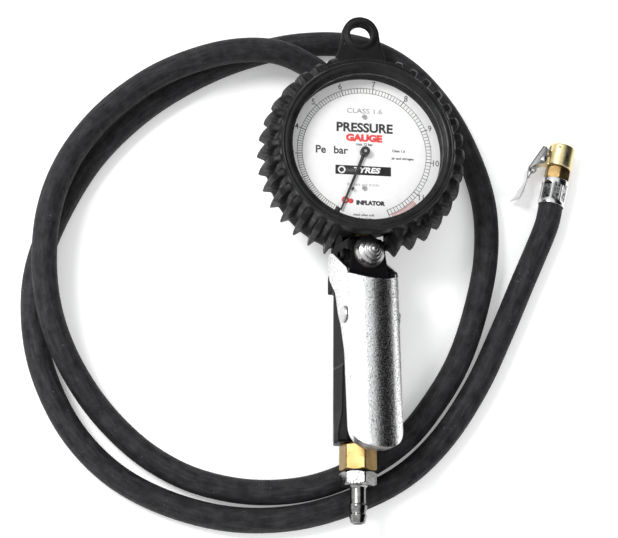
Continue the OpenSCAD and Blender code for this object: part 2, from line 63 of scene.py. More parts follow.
# Placing frames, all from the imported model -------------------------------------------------

Y, Z = Vector((0, 1, 0)), Vector((0, 0, 1))
squeeze, slide = JOINTS["lever_squeeze"], JOINTS["valve_slide"]
across, outward = Vector(squeeze["axis"]), Vector(slide["axis"])
pivot = Vector(squeeze["pos_m"])
PIVOT_Y, PIVOT_H = -31.0, 16.5
VALVE_Y = 3.3
CHUCK_LEN = 31.2
LEVER_TILT = math.radians(-4)
GRIP = axes_at(pivot - PIVOT_Y * MM * Y - PIVOT_H * MM * outward, across, Y, outward)
LEVER = GRIP @ Matrix.Translation((0, PIVOT_Y * MM, PIVOT_H * MM)) @ Matrix.Rotation(LEVER_TILT, 4, "X")
dial_lo, dial_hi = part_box("dial_plate")
boot_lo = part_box("rubber_boot")[0]
GAUGE = Matrix.Translation(((dial_lo.x + dial_hi.x) / 2, (dial_lo.y + dial_hi.y) / 2, boot_lo.z))
DIAL = Matrix.Translation((GAUGE.translation.x, GAUGE.translation.y, dial_hi.z))
mouth = Vector(MOUNTS["chuck_mouth"]["pos_m"])
along = Vector(MOUNTS["chuck_mouth"]["axis"]).normalized()
CHUCK = axes_at(mouth - CHUCK_LEN * MM * along, along.cross(Z), along, Z)
WORLD = Matrix.Identity(4)

# Camera --------------------------------------------------------------------------------------

SENSOR_MM, LENS_MM = 36, 121.75
CAMERA_AIM = Vector((-0.022256, 0.002929, 0))
CAMERA_DISTANCE = 1.1

scene = bpy.context.scene
lens_data = bpy.data.cameras.new("camera")
lens_data.sensor_width = SENSOR_MM
lens_data.lens = LENS_MM
lens_data.clip_end = 20
camera = bpy.data.objects.new("camera", lens_data)
scene.collection.objects.link(camera)
right = Vector((0.98911414, 0.00664962, 0.147))
upward = Vector((-0.04351032, 0.96752563, 0.249))
back = right.cross(upward)
camera.matrix_world = axes_at(CAMERA_AIM + CAMERA_DISTANCE * back, right, upward, back)
scene.camera = camera
scene.view_settings.view_transform = "Standard"

# Mesh helpers, in millimetres inside a placing frame -----------------------------------------


def bezier(s, b, e, t):
    """The point at share t of the curve from s to e that b pulls on."""
    return tuple((1 - t) ** 2 * s + 2 * t * (1 - t) * b + t * t * e)


def rounded(points, radius, steps=3, closed=True, keep=()):
    """The outline with its corners cut to small curves; the corners listed in keep stay sharp."""
    out, n = [], len(points)
    for i, p in enumerate(points):
        if (not closed and i in (0, n - 1)) or i in keep:
            out.append(tuple(p))
            continue
        a, b, c = Vector(points[i - 1]), Vector(p), Vector(points[(i + 1) % n])
        r = min(radius, (a - b).length * 0.45, (c - b).length * 0.45)
        s, e = b + (a - b).normalized() * r, b + (c - b).normalized() * r
        out += [bezier(s, b, e, k / steps) for k in range(steps + 1)]
    return out


def lathe(profile, n=72, axis="z", radius_at=None, closed=False):
    """Verts, faces and uvs of a turned shape from [(radius, height)]; radius_at may change a radius."""
    verts, faces, rings, lengths = [], [], [], [0.0]
    for i, (r, h) in enumerate(profile):
        if i:
            lengths.append(lengths[-1] + math.dist(profile[i - 1], profile[i]))
        if r < 1e-4:
            rings.append([len(verts)])
            verts.append((0, 0, h))
        else:
            rings.append(list(range(len(verts), len(verts) + n)))
            for k in range(n):
                a = 2 * math.pi * k / n
                q = radius_at(r, a, h) if radius_at else r
                verts.append((q * math.cos(a), q * math.sin(a), h))
    pairs = list(zip(range(len(rings)), range(1, len(rings))))
    if closed:
        pairs.append((len(rings) - 1, 0))
    uv = []
    for i, j in pairs:
        a, b = rings[i], rings[j]
        va, vb = lengths[i], lengths[j] if j > i else lengths[i] + 1
        for k in range(n):
            u, w = k / n, (k + 1) / n
            if len(a) == 1 and len(b) == 1:
                break
            if len(a) == 1:
                faces.append((a[0], b[k], b[(k + 1) % n]))
                uv.append(((u, va), (u, vb), (w, vb)))
            elif len(b) == 1:
                faces.append((a[(k + 1) % n], a[k], b[0]))
                uv.append(((w, va), (u, va), (u, vb)))
            else:
                faces.append((a[(k + 1) % n], a[k], b[k], b[(k + 1) % n]))
                uv.append(((w, va), (u, va), (u, vb), (w, vb)))
    if axis == "y":
        verts = [(x, -z, y) for x, y, z in verts]
    return verts, faces, uv


def prism(outline, low, high, axis="z"):
    """Verts and faces of a flat outline made thick, along z, or along x for outlines given as (y, z)."""
    n = len(outline)
    place = (lambda p, h: (p[0], p[1], h)) if axis == "z" else (lambda p, h: (h, p[0], p[1]))
    verts = [place(p, low) for p in outline] + [place(p, high) for p in outline]
    faces = [tuple(reversed(range(n))), tuple(range(n, 2 * n))]
    faces += [(i, (i + 1) % n, n + (i + 1) % n, n + i) for i in range(n)]
    return verts, faces


def block(x0, x1, y0, y1, z0, z1):
    return prism([(x0, y0), (x1, y0), (x1, y1), (x0, y1)], z0, z1)


def joined(*shapes):
    """Several (verts, faces) as one."""
    verts, faces = [], []
    for s in shapes:
        n = len(verts)
        verts += list(s[0])
        faces += [tuple(i + n for i in f) for f in s[1]]
    return verts, faces


def turned_about(shape, angle, dx=0.0, dy=0.0):
    """A (verts, faces) shape turned about z, then moved."""
    c, s = math.cos(angle), math.sin(angle)
    return [(x * c - y * s + dx, x * s + y * c + dy, z) for x, y, z in shape[0]], shape[1]


def piece(name, shape, at, body, material, replaces=(), bevel=0.0, smooth=35):
    """A Blender object from a (verts, faces[, uvs]) shape, riding on a body."""
    mesh = bpy.data.meshes.new(name)
    mesh.from_pydata([at @ (Vector(v) * MM) for v in shape[0]], [], [list(f) for f in shape[1]])
    if len(shape) > 2 and shape[2]:
        layer = mesh.uv_layers.new(name="UVMap")
        flat = [c for face in shape[2] for c in face]
        for loop, c in zip(layer.data, flat):
            loop.uv = c
    outward_faces(mesh, bevel)
    obj = bpy.data.objects.new(name, mesh)
    scene.collection.objects.link(obj)
    finish_piece(obj, body, material, replaces, smooth)
    return obj


def finish_piece(obj, body, material, replaces=(), smooth=35):
    """The object's material and shading, what it replaces and the body it rides on."""
    mesh = obj.data
    mesh.materials.clear()
    mesh.materials.append(material)
    mesh.shade_smooth()
    if smooth:
        mesh.set_sharp_from_angle(angle=math.radians(smooth))
    if replaces:
        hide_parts(*replaces)
    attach(obj, body)


def baked(obj):
    """The object's modifiers made real."""
    bpy.context.view_layer.update()
    graph = bpy.context.evaluated_depsgraph_get()
    mesh = bpy.data.meshes.new_from_object(obj.evaluated_get(graph))
    obj.modifiers.clear()
    obj.data = mesh
    return obj


def outward_faces(mesh, bevel=0.0):
    """Every face turned outward, and the sharp edges bevelled."""
    bm = bmesh.new()
    bm.from_mesh(mesh)
    bmesh.ops.recalc_face_normals(bm, faces=bm.faces)
    if bevel:
        sharp = [e for e in bm.edges if e.is_manifold and e.calc_face_angle(0) > 0.5]
        bmesh.ops.bevel(bm, geom=sharp, offset=bevel * MM, segments=2, profile=0.6, affect="EDGES")
    bm.to_mesh(mesh)
    bm.free()


def fused(name, shapes, at, voxel, smooth_steps, cuts=()):
    """One moulded skin from overlapping closed shapes, with rounded inner corners."""
    verts, faces = joined(*shapes)
    mesh = bpy.data.meshes.new(name)
    mesh.from_pydata([at @ (Vector(v) * MM) for v in verts], [], faces)
    outward_faces(mesh)
    obj = bpy.data.objects.new(name, mesh)
    scene.collection.objects.link(obj)
    m = obj.modifiers.new("remesh", "REMESH")
    m.mode = "VOXEL"
    m.voxel_size = voxel * MM
    tools = []
    baked(obj)
    for c in cuts:
        tool_mesh = bpy.data.meshes.new("cut")
        tool_mesh.from_pydata([at @ (Vector(v) * MM) for v in c[0]], [], [list(f) for f in c[1]])
        outward_faces(tool_mesh)
        tool = bpy.data.objects.new("cut", tool_mesh)
        scene.collection.objects.link(tool)
        tools.append(tool)
        b = obj.modifiers.new("cut", "BOOLEAN")
        b.operation = "DIFFERENCE"
        b.solver = "EXACT"
        b.object = tool
    if cuts:
        baked(obj)
        for tool in tools:
            bpy.data.objects.remove(tool)
        m = obj.modifiers.new("remesh", "REMESH")
        m.mode = "VOXEL"
        m.voxel_size = voxel * MM
        baked(obj)
    s = obj.modifiers.new("soften", "SMOOTH")
    s.factor = 0.5
    s.iterations = smooth_steps
    return baked(obj)


# Materials -------------------------------------------------------------------------------------


class Look:
    """One procedural material under construction."""

    def __init__(self, name, rough, metallic=0.0, specular=0.5):
        self.material = bpy.data.materials.new(name)
        self.material.use_nodes = True
        self.tree = self.material.node_tree
        self.tree.nodes.clear()
        self.out = self.tree.nodes.new("ShaderNodeOutputMaterial")
        self.bsdf = self.tree.nodes.new("ShaderNodeBsdfPrincipled")
        self.tree.links.new(self.bsdf.outputs[0], self.out.inputs[0])
        self.bsdf.inputs["Roughness"].default_value = rough
        self.bsdf.inputs["Metallic"].default_value = metallic
        self.bsdf.inputs["IOR"].default_value = 1.5
        self.bsdf.inputs["Specular IOR Level"].default_value = specular
        self.coord = self.tree.nodes.new("ShaderNodeTexCoord")
        self.normal = None

    def node(self, kind, **values):
        n = self.tree.nodes.new(kind)
        for k, v in values.items():
            setattr(n, k, v)
        return n

    def wire(self, a, b):
        self.tree.links.new(a, b)

    def space(self, scale=(1, 1, 1), source="Object"):
        m = self.node("ShaderNodeMapping")
        m.inputs["Scale"].default_value = scale
        self.wire(self.coord.outputs[source], m.inputs["Vector"])
        return m.outputs[0]

    def noise(self, scale, detail=3.0, rough=0.55, space=None):
        n = self.node("ShaderNodeTexNoise")
        n.inputs["Scale"].default_value = scale
        n.inputs["Detail"].default_value = detail
        n.inputs["Roughness"].default_value = rough
        n.inputs["Distortion"].default_value = 0.0
        self.wire(space or self.coord.outputs["Object"], n.inputs["Vector"])
        return n.outputs["Fac"]

    def cells(self, scale, space=None):
        n = self.node("ShaderNodeTexVoronoi", feature="F1")
        n.inputs["Scale"].default_value = scale
        self.wire(space or self.coord.outputs["Object"], n.inputs["Vector"])
        return n.outputs["Distance"]

    def band(self, value, low, high, out_low=0.0, out_high=1.0):
        n = self.node("ShaderNodeMapRange")
        n.inputs["From Min"].default_value = low
        n.inputs["From Max"].default_value = high
        n.inputs["To Min"].default_value = out_low
        n.inputs["To Max"].default_value = out_high
        self.wire(value, n.inputs["Value"])
        return n.outputs[0]

    def calc(self, operation, a, b):
        n = self.node("ShaderNodeMath", operation=operation)
        for i, v in enumerate((a, b)):
            if isinstance(v, (int, float)):
                n.inputs[i].default_value = v
            else:
                self.wire(v, n.inputs[i])
        return n.outputs[0]

    def mix(self, fac, a, b):
        n = self.node("ShaderNodeMix", data_type="RGBA")
        for i, v in ((6, a), (7, b)):
            if isinstance(v, (tuple, list)):
                n.inputs[i].default_value = (*v, 1) if len(v) == 3 else v
            else:
                self.wire(v, n.inputs[i])
        self.wire(fac, n.inputs[0])
        return n.outputs[2]

    def colour(self, socket):
        self.wire(socket, self.bsdf.inputs["Base Color"])

    def rough(self, socket):
        self.wire(socket, self.bsdf.inputs["Roughness"])

    def bump(self, height, strength, distance):
        n = self.node("ShaderNodeBump")
        n.inputs["Strength"].default_value = strength
        n.inputs["Distance"].default_value = distance * MM
        self.wire(height, n.inputs["Height"])
        if self.normal:
            self.wire(self.normal, n.inputs["Normal"])
        self.normal = n.outputs[0]
        self.wire(self.normal, self.bsdf.inputs["Normal"])


def rubber(name, dark, light, grain, dust=0.0, rough=(0.36, 0.6)):
    """Moulded rubber: mottled tone, fine grain and pale dust specks."""
    m = Look(name, 0.5, specular=0.17)
    mottle = m.noise(90, 4, 0.6)
    tone = m.mix(m.band(mottle, 0.35, 0.7), dark, light)
    if dust:
        specks = m.band(m.cells(420), 0.10, 0.04)
        patches = m.band(m.noise(60, 2), 0.52, 0.62)
        tone = m.mix(m.calc("MULTIPLY", m.calc("MULTIPLY", specks, patches), dust), tone, (0.42, 0.42, 0.43))
    m.colour(tone)
    m.rough(m.band(m.noise(240, 3), 0.3, 0.7, *rough))
    m.bump(m.noise(1500, 3, 0.6), 0.35, grain)
    m.bump(m.noise(180, 3, 0.5), 0.3, grain * 2)
    return m.material


def hose_skin():
    """Rubber with the print of its cloth wrap: u is millimetres around, v millimetres along."""
    m = Look("hose_rubber_look", 0.62, specular=0.20)
    uv = m.coord.outputs["UV"]
    threads = []
    for lean in (1, -1):
        wave = m.node("ShaderNodeTexWave", wave_type="BANDS", bands_direction="DIAGONAL")
        wave.inputs["Scale"].default_value = 0.42
        wave.inputs["Distortion"].default_value = 0.8
        m.wire(m.space((lean, 1, 1), "UV"), wave.inputs["Vector"])
        threads.append(wave.outputs["Fac"])
    weave = m.calc("MULTIPLY", *threads)
    streak = m.noise(1.0, 3, 0.6, m.space((0.5, 0.08, 1), "UV"))
    mottle = m.noise(0.16, 4, 0.6, uv)
    tone = m.mix(m.band(mottle, 0.35, 0.68), (0.009, 0.009, 0.010), (0.024, 0.024, 0.026))
    tone = m.mix(m.band(streak, 0.45, 0.8, 0, 0.5), tone, (0.06, 0.06, 0.062))
    specks = m.band(m.cells(0.62, uv), 0.13, 0.05)
    worn = m.band(m.noise(0.09, 3, 0.6, uv), 0.56, 0.66)
    tone = m.mix(m.calc("MULTIPLY", m.calc("MULTIPLY", specks, worn), 0.75), tone, (0.5, 0.5, 0.51))
    m.colour(tone)
    m.rough(m.band(m.noise(0.5, 3, 0.6, uv), 0.3, 0.7, 0.5, 0.75))
    m.bump(weave, 0.3, 0.2)
    m.bump(m.noise(0.9, 3, 0.6, m.space((0.35, 0.7, 1), "UV")), 0.35, 0.25)
    return m.material


def metal(name, tone_a, tone_b, rough, pits=0.0, lathe_lines=0.0, tarnish_and_painted_reflection=None):
    """Metal with two tones and uneven polish; pits, turning lines along v and dark patches are optional, the
    patches being tarnish on the brasses and painted dark reflection on the nickel.
    """
    m = Look(name, rough[0], metallic=1.0)
    cloud = m.noise(160, 4, 0.6)
    tone = m.mix(m.band(cloud, 0.35, 0.65), tone_a, tone_b)
    # dark patches: tarnish on the brasses, painted dark reflection on the nickel
    if tarnish_and_painted_reflection:
        tone = m.mix(m.band(m.noise(420, 4, 0.65), 0.56, 0.74, 0, 0.7), tone, tarnish_and_painted_reflection)
    dots = None
    if pits:
        dots = m.band(m.noise(900, 2, 0.5), 0.60, 0.72)
        tone = m.mix(m.calc("MULTIPLY", dots, 0.5), tone, tuple(c * 0.5 for c in tone_a))
    m.colour(tone)
    m.rough(m.band(m.noise(320, 4, 0.6), 0.3, 0.7, *rough))
    if lathe_lines:
        lines = m.noise(1.0, 3, 0.7, m.space((0.4, 9, 1), "UV"))
        m.bump(lines, lathe_lines, 0.06)
    m.bump(m.noise(700, 3, 0.55), 0.12, 0.05)
    if pits:
        m.bump(dots, pits, -0.08)
    return m.material


def chrome_sheet():
    """Worn chrome: fine orange peel, dense small pits and dull freckles."""
    m = Look("lever_chrome_look", 0.2, metallic=1.0)
    freckle = m.band(m.noise(1250, 2, 0.5), 0.53, 0.67)
    fine = m.band(m.noise(3000, 2, 0.5), 0.55, 0.70)
    cloud = m.noise(260, 3, 0.6)
    tone = m.mix(m.band(cloud, 0.35, 0.65), (0.86, 0.86, 0.86), (0.92, 0.92, 0.92))
    tone = m.mix(m.calc("MULTIPLY", freckle, 0.75), tone, (0.26, 0.26, 0.27))
    m.colour(tone)
    base = m.band(m.noise(1100, 3, 0.6), 0.3, 0.7, 0.14, 0.24)
    m.rough(m.calc("ADD", base, m.calc("MULTIPLY", fine, 0.18)))
    m.bump(m.noise(1300, 2, 0.5), 0.8, 0.11)
    m.bump(freckle, 0.6, 0.07)
    return m.material


def plastic(name, dark, light, rough):
    """Moulded plastic with faint flow marks and handling scratches."""
    m = Look(name, rough[0], specular=0.025)
    m.colour(m.mix(m.band(m.noise(60, 4, 0.6), 0.35, 0.7), dark, light))
    m.rough(m.band(m.noise(220, 4, 0.6), 0.3, 0.7, *rough))
    m.bump(m.noise(300, 3, 0.6, m.space((1, 0.15, 1))), 0.15, 0.08)
    m.bump(m.noise(2200, 2, 0.5), 0.08, 0.03)
    return m.material


def paint(name, tone_a, tone_b, rough, grain=0.06):
    """Printed or painted sheet: a faintly uneven coat."""
    m = Look(name, rough[0], specular=0.4)
    m.colour(m.mix(m.band(m.noise(260, 4, 0.6), 0.35, 0.65), tone_a, tone_b))
    m.rough(m.band(m.noise(500, 3, 0.6), 0.3, 0.7, *rough))
    m.bump(m.noise(1600, 3, 0.5), 0.15, grain)
    return m.material


def clear_sheet():
    """Clear polycarbonate: mostly seen through, with a soft skin reflection and a few dust marks."""
    m = Look("clear_lens_look", 0.08, specular=0.5)
    m.material.surface_render_method = "DITHERED"
    veil = m.node("ShaderNodeBsdfTransparent")
    gloss = m.node("ShaderNodeBsdfGlossy")
    gloss.inputs["Roughness"].default_value = 0.08
    blend = m.node("ShaderNodeMixShader")
    fac = m.band(m.noise(60, 3, 0.6), 0.3, 0.7, 0.012, 0.03)
    m.wire(fac, blend.inputs[0])
    m.wire(veil.outputs[0], blend.inputs[1])
    m.wire(gloss.outputs[0], blend.inputs[2])
    m.wire(blend.outputs[0], m.out.inputs[0])
    m.tree.nodes.remove(m.bsdf)
    return m.material


LOOKS = {
    "boot_rubber": rubber("boot_rubber_look", (0.005, 0.005, 0.0055), (0.013, 0.013, 0.014), 0.05, dust=0.6),
    "case_plastic": plastic("case_plastic_look", (0.012, 0.012, 0.013), (0.025, 0.025, 0.027), (0.35, 0.5)),
    "seal_rubber": rubber("seal_rubber_look", (0.008, 0.008, 0.008), (0.016, 0.016, 0.016), 0.03),
    "clear_lens": clear_sheet(),
    "dial_white": paint("dial_white_look", (0.86, 0.86, 0.85), (0.9, 0.9, 0.89), (0.4, 0.55), 0.02),
    "pointer_black": paint("pointer_black_look", (0.008, 0.008, 0.008), (0.02, 0.02, 0.02), (0.3, 0.45)),
    "movement_brass": metal("movement_brass_look", (0.72, 0.53, 0.24), (0.82, 0.63, 0.32), (0.22, 0.4)),
    "spring_bronze": metal("spring_bronze_look", (0.62, 0.38, 0.2), (0.7, 0.46, 0.26), (0.25, 0.45)),
    "body_black": plastic("body_black_look", (0.004, 0.004, 0.0045), (0.009, 0.009, 0.010), (0.18, 0.32)),
    "lever_chrome": chrome_sheet(),
    "steel": metal("steel_look", (0.56, 0.56, 0.55), (0.7, 0.7, 0.69), (0.2, 0.38), pits=0.2,
                   lathe_lines=0.35),
    "brass": metal("brass_look", (0.24, 0.155, 0.055), (0.40, 0.27, 0.115), (0.26, 0.42), lathe_lines=0.3,
                   tarnish_and_painted_reflection=(0.10, 0.065, 0.025)),
    # nickel: the near black patches are painted dark reflection of the hex facets
    "nickel": metal("nickel_look", (0.13, 0.13, 0.13), (0.40, 0.40, 0.39), (0.1, 0.24), pits=0.25,
                    lathe_lines=0.3, tarnish_and_painted_reflection=(0.03, 0.03, 0.03)),
    "fibre": paint("fibre_look", (0.05, 0.04, 0.035), (0.09, 0.075, 0.065), (0.6, 0.8)),
    "hose_rubber": hose_skin(),
}
INK = {
    "black": paint("ink_black_look", (0.006, 0.006, 0.007), (0.02, 0.02, 0.02), (0.4, 0.6)),
    "line": paint("ink_line_look", (0.01, 0.01, 0.01), (0.03, 0.03, 0.03), (0.4, 0.6)),
    "grey": paint("ink_grey_look", (0.3, 0.3, 0.31), (0.45, 0.45, 0.46), (0.4, 0.6)),
    "red": paint("ink_red_look", (0.68, 0.03, 0.03), (0.8, 0.07, 0.06), (0.4, 0.6)),
    "pale_red": paint("ink_pale_red_look", (0.7, 0.3, 0.3), (0.82, 0.42, 0.42), (0.4, 0.6)),
    "white": paint("ink_white_look", (0.85, 0.85, 0.84), (0.9, 0.9, 0.9), (0.4, 0.6)),
}
PALE_BRASS = metal("pale_brass_look", (0.76, 0.63, 0.33), (0.88, 0.77, 0.47), (0.26, 0.42), lathe_lines=0.25,
                   tarnish_and_painted_reflection=(0.5, 0.39, 0.17))
LIP_RUBBER = rubber("lip_rubber_look", (0.008, 0.008, 0.0085), (0.02, 0.02, 0.021), 0.03, dust=0.5,
                    rough=(0.22, 0.4))
SHEET_STEEL = metal("sheet_steel_look", (0.62, 0.62, 0.62), (0.76, 0.76, 0.76), (0.22, 0.36), pits=0.2)


def ferrule_look():
    """Crimped plated sleeve: bright borders round flats painted near black, a painted dark reflection. u runs once
    round, v is millimetres.
    """
    m = Look("ferrule_look", 0.16, metallic=1.0)
    split = m.node("ShaderNodeSeparateXYZ")
    m.wire(m.coord.outputs["UV"], split.inputs[0])
    turn = m.calc("FRACT", m.calc("ADD", m.calc("MULTIPLY", split.outputs["X"], 8.0), 0.5), 0.0)
    beside = m.band(m.calc("ABSOLUTE", m.calc("SUBTRACT", turn, 0.5), 0.0), 0.36, 0.30)
    length = m.calc("ABSOLUTE", m.calc("SUBTRACT", split.outputs["Y"], 7.9), 0.0)
    # painted reflection: the middles of the crimp flats are painted near black, standing for flat facets that
    # mirror the dark surroundings
    window = m.calc("MULTIPLY", beside, m.band(length, 5.0, 4.5))
    patchy = m.band(m.noise(700, 3, 0.6), 0.42, 0.6, 0.45, 1.0)
    m.colour(m.mix(m.calc("MULTIPLY", window, patchy), (0.82, 0.82, 0.82), (0.03, 0.03, 0.032)))
    m.rough(m.band(m.noise(500, 3, 0.6), 0.3, 0.7, 0.12, 0.26))
    m.bump(m.noise(900, 3, 0.55), 0.2, 0.05)
    return m.material


SLOT_OF = {s["node"]: s["material_slot"] for s in frame["record"]["subparts"]}
for node_name, node_object in NODES.items():
    node_object.data.materials.clear()
    node_object.data.materials.append(LOOKS[SLOT_OF[node_name]])
for node_name in ("dial_screw_upper", "dial_screw_lower"):
    NODES[node_name].data.materials[0] = LOOKS["steel"]

# Hose: the route that part.scad sweeps, in metres -------------------------------------------

ROUTE = [
    (0.001, 0.028, 0.0135), (0.006, 0.046, 0.0135), (0.006, 0.064, 0.0135), (0.001, 0.082, 0.0138),
    (-0.01, 0.098, 0.015), (-0.026, 0.11, 0.0175), (-0.046, 0.116, 0.0198), (-0.071, 0.1135, 0.0204),
    (-0.098, 0.103, 0.02), (-0.119, 0.089, 0.0196), (-0.137, 0.071, 0.0196), (-0.151, 0.049, 0.02),
    (-0.159, 0.025, 0.0202), (-0.161, -0.001, 0.02), (-0.158, -0.026, 0.0186), (-0.15, -0.048, 0.0146),
    (-0.137, -0.069, 0.0094), (-0.121, -0.087, 0.0069), (-0.102, -0.102, 0.0066),
    (-0.079, -0.1125, 0.0066), (-0.051, -0.117, 0.0066), (-0.022, -0.114, 0.0066), (0.005, -0.103, 0.0066),
    (0.0275, -0.087, 0.0066), (0.0445, -0.0655, 0.0066), (0.057, -0.043, 0.0066), (0.066, -0.016, 0.0066),
    (0.0715, 0.012, 0.0066), (0.071, 0.04, 0.0066), (0.063, 0.067, 0.0066), (0.049, 0.093, 0.0066),
    (0.028, 0.115, 0.0066), (0.002, 0.126, 0.0066), (-0.027, 0.1255, 0.0066), (-0.056, 0.1175, 0.0066),
    (-0.084, 0.104, 0.0066), (-0.112, 0.084, 0.0066), (-0.136, 0.058, 0.0066), (-0.153, 0.028, 0.0066),
    (-0.1635, -0.002, 0.0066), (-0.165, -0.03, 0.0066), (-0.159, -0.059, 0.0066), (-0.144, -0.088, 0.0066),
    (-0.122, -0.11, 0.0066), (-0.094, -0.124, 0.0066), (-0.062, -0.131, 0.0066), (-0.03, -0.1295, 0.0066),
    (0, -0.1205, 0.0066), (0.0265, -0.1065, 0.0066), (0.0475, -0.086, 0.0066), (0.0655, -0.0585, 0.0066),
    (0.079, -0.03, 0.0066), (0.091, -0.002, 0.0066), (0.0993, 0.017, 0.0067), (0.105, 0.0313, 0.0074),
    (0.1073, 0.0415, 0.0076), (0.1101, 0.0542, 0.0076),
]
HOSE_R = 6.5
RING_STEP = 2.6
RING_SIDES = 28
HOSE_ROUND = 40.84


def smooth_route(points):
    """The route as closely spaced points on one smooth curve, in metres."""
    fine = []
    for i in range(len(points) - 1):
        p0, p1 = Vector(points[max(i - 1, 0)]), Vector(points[i])
        p2, p3 = Vector(points[i + 1]), Vector(points[min(i + 2, len(points) - 1)])
        steps = max(4, round((p2 - p1).length / (RING_STEP * MM)))
        for k in range(steps):
            t = k / steps
            fine.append(0.5 * (2 * p1 + (p2 - p0) * t + (2 * p0 - 5 * p1 + 4 * p2 - p3) * t * t
                               + (3 * p1 - p0 - 3 * p2 + p3) * t ** 3))
    fine.append(Vector(points[-1]))
    return fine


path = smooth_route(ROUTE)
hose_verts, hose_faces, hose_uv, run = [], [], [], 0.0
for i, p in enumerate(path):
    d = (path[min(i + 1, len(path) - 1)] - path[max(i - 1, 0)]).normalized()
    side = Z.cross(d).normalized()
    up_side = d.cross(side)
    for k in range(RING_SIDES):
        a = 2 * math.pi * k / RING_SIDES
        hose_verts.append(tuple((p + HOSE_R * MM * (math.cos(a) * side + math.sin(a) * up_side)) / MM))
    if i:
        step = (p - path[i - 1]).length / MM
        base = (i - 1) * RING_SIDES
        for k in range(RING_SIDES):
            j = (k + 1) % RING_SIDES
            hose_faces.append((base + k, base + j, base + RING_SIDES + j, base + RING_SIDES + k))
            u0, u1 = HOSE_ROUND * k / RING_SIDES, HOSE_ROUND * (k + 1) / RING_SIDES
            hose_uv.append(((u0, run), (u1, run), (u1, run + step), (u0, run + step)))
        run += step
hose_faces += [tuple(range(RING_SIDES - 1, -1, -1)),
               tuple(range(len(hose_verts) - RING_SIDES, len(hose_verts)))]
hose_uv += [tuple((math.cos(k), math.sin(k)) for k in range(RING_SIDES))] * 2
hose = piece("air_hose", (hose_verts, hose_faces, hose_uv), WORLD, "gun", LOOKS["hose_rubber"],
             ("hose",), smooth=50)

# Rubber boot --------------------------------------------------------------------------------

WALL_R, LIP_R, FRONT_H = 46.5, 38.9, 33.0
BEZEL_R = (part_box("bezel_ring")[1].x - GAUGE.translation.x) / MM + 0.2
EYE_Y, EYE_R = 69.0, 5.75
FIN_ROOT = 43.6
# Sections of a fin from back to front: height, tip radius, half width at the tip and at the wall
FIN_STATIONS = [
    (1.3, 52.6, 0.5, 3.9), (2.6, 54.0, 0.5, 3.9), (8.0, 54.0, 0.8, 3.7), (14.0, 53.4, 1.2, 3.4),
    (20.0, 52.4, 1.6, 2.9), (25.5, 51.2, 1.95, 2.5), (28.2, 49.4, 1.9, 2.3), (29.4, 46.0, 1.7, 2.0),
]


def fin(angle):
    """A wedge that is sharp at the back and broad at the front."""
    verts, faces = [], []
    for h, tip_r, tip_w, root_w in FIN_STATIONS:
        verts += [(FIN_ROOT, -root_w, h), (tip_r - 0.3, -tip_w, h), (tip_r, -tip_w * 0.5, h),
                  (tip_r, tip_w * 0.5, h), (tip_r - 0.3, tip_w, h), (FIN_ROOT, root_w, h)]
    for i in range(len(FIN_STATIONS) - 1):
        b = 6 * i
        faces += [(b + k, b + (k + 1) % 6, b + 6 + (k + 1) % 6, b + 6 + k) for k in range(6)]
    last = len(verts) - 6
    faces += [tuple(range(5, -1, -1)), tuple(range(last, last + 6))]
    return turned_about((verts, faces), angle)


wall_line = [
    (36.2, 0), (48.6, 0), (49.4, 0.8), (49.4, 3.4), (WALL_R, 9), (WALL_R, FRONT_H - 9),
    (WALL_R - 0.8, FRONT_H - 4), (44.4, FRONT_H - 1.8), (43.2, FRONT_H - 0.9), (41.2, FRONT_H - 0.9),
    (LIP_R + 0.8, FRONT_H - 2.4), (LIP_R + 0.8, FRONT_H - 3.9), (BEZEL_R, FRONT_H - 3.9), (BEZEL_R, 2.3),
    (36.2, 2.3),
]
wall = lathe(rounded(wall_line, 0.5), 144, closed=True)
tab_line = [(-16, 43), (-14.5, 52), (-10.4, 65), (-9.6, 72.5), (-6.4, 77), (-2.5, 79), (2.5, 79), (6.4, 77),
            (9.6, 72.5), (10.4, 65), (14.5, 52), (16, 43)]
tab = prism(rounded(tab_line, 2.5, keep=(0, 11)), 2.2, 8)
root_arc = [math.radians(61 + 58 * k / 24) for k in range(25)]
tab_root = prism([(47.0 * math.cos(a), 47.0 * math.sin(a)) for a in root_arc]
                 + [(43.2 * math.cos(a), 43.2 * math.sin(a)) for a in reversed(root_arc)], 6, FRONT_H - 1.6)
rim_line = rounded([(0, 6), (8.1, 6), (8.1, 9.0), (0, 9.0)], 0.8, keep=(0, 3))
eye_rim = turned_about(lathe(rim_line, 48)[:2], 0, 0, EYE_Y)
fins = [fin(math.radians(10 * i)) for i in range(36) if not (8 <= i <= 10 or 26 <= i <= 28)]
eye_cut = turned_about(lathe([(0, -5), (EYE_R, -5), (EYE_R, 30), (0, 30)], 64)[:2], 0, 0, EYE_Y)
neck_cut = block(-13, 13, -60, -33, -1, 27)
boot = fused("finned_boot", [wall[:2], tab, tab_root, eye_rim] + fins, GAUGE, 0.48, 2, (eye_cut, neck_cut))
finish_piece(boot, "gun", LOOKS["boot_rubber"], ("rubber_boot",), smooth=0)
lip_line = [
    (45.6, 27.2), (45.6, 29.2), (45.0, 31.6), (44.3, FRONT_H), (43.6, FRONT_H + 0.05), (43.1, FRONT_H - 0.35),
    (42.4, FRONT_H - 0.15), (41.4, FRONT_H - 0.1), (40.5, FRONT_H - 0.55), (40.1, FRONT_H - 0.95),
    (39.5, FRONT_H - 1.0), (38.95, FRONT_H - 1.6), (LIP_R, FRONT_H - 3.95), (40.6, FRONT_H - 3.95),
    (42.8, 29.6), (43.6, 27.2),
]
piece("boot_lip", lathe(rounded(lip_line, 0.28), 192, closed=True), GAUGE, "gun", LIP_RUBBER,
      smooth=60)

# Dial print ---------------------------------------------------------------------------------

INK_LOW, INK_HIGH = 0.01, 0.035
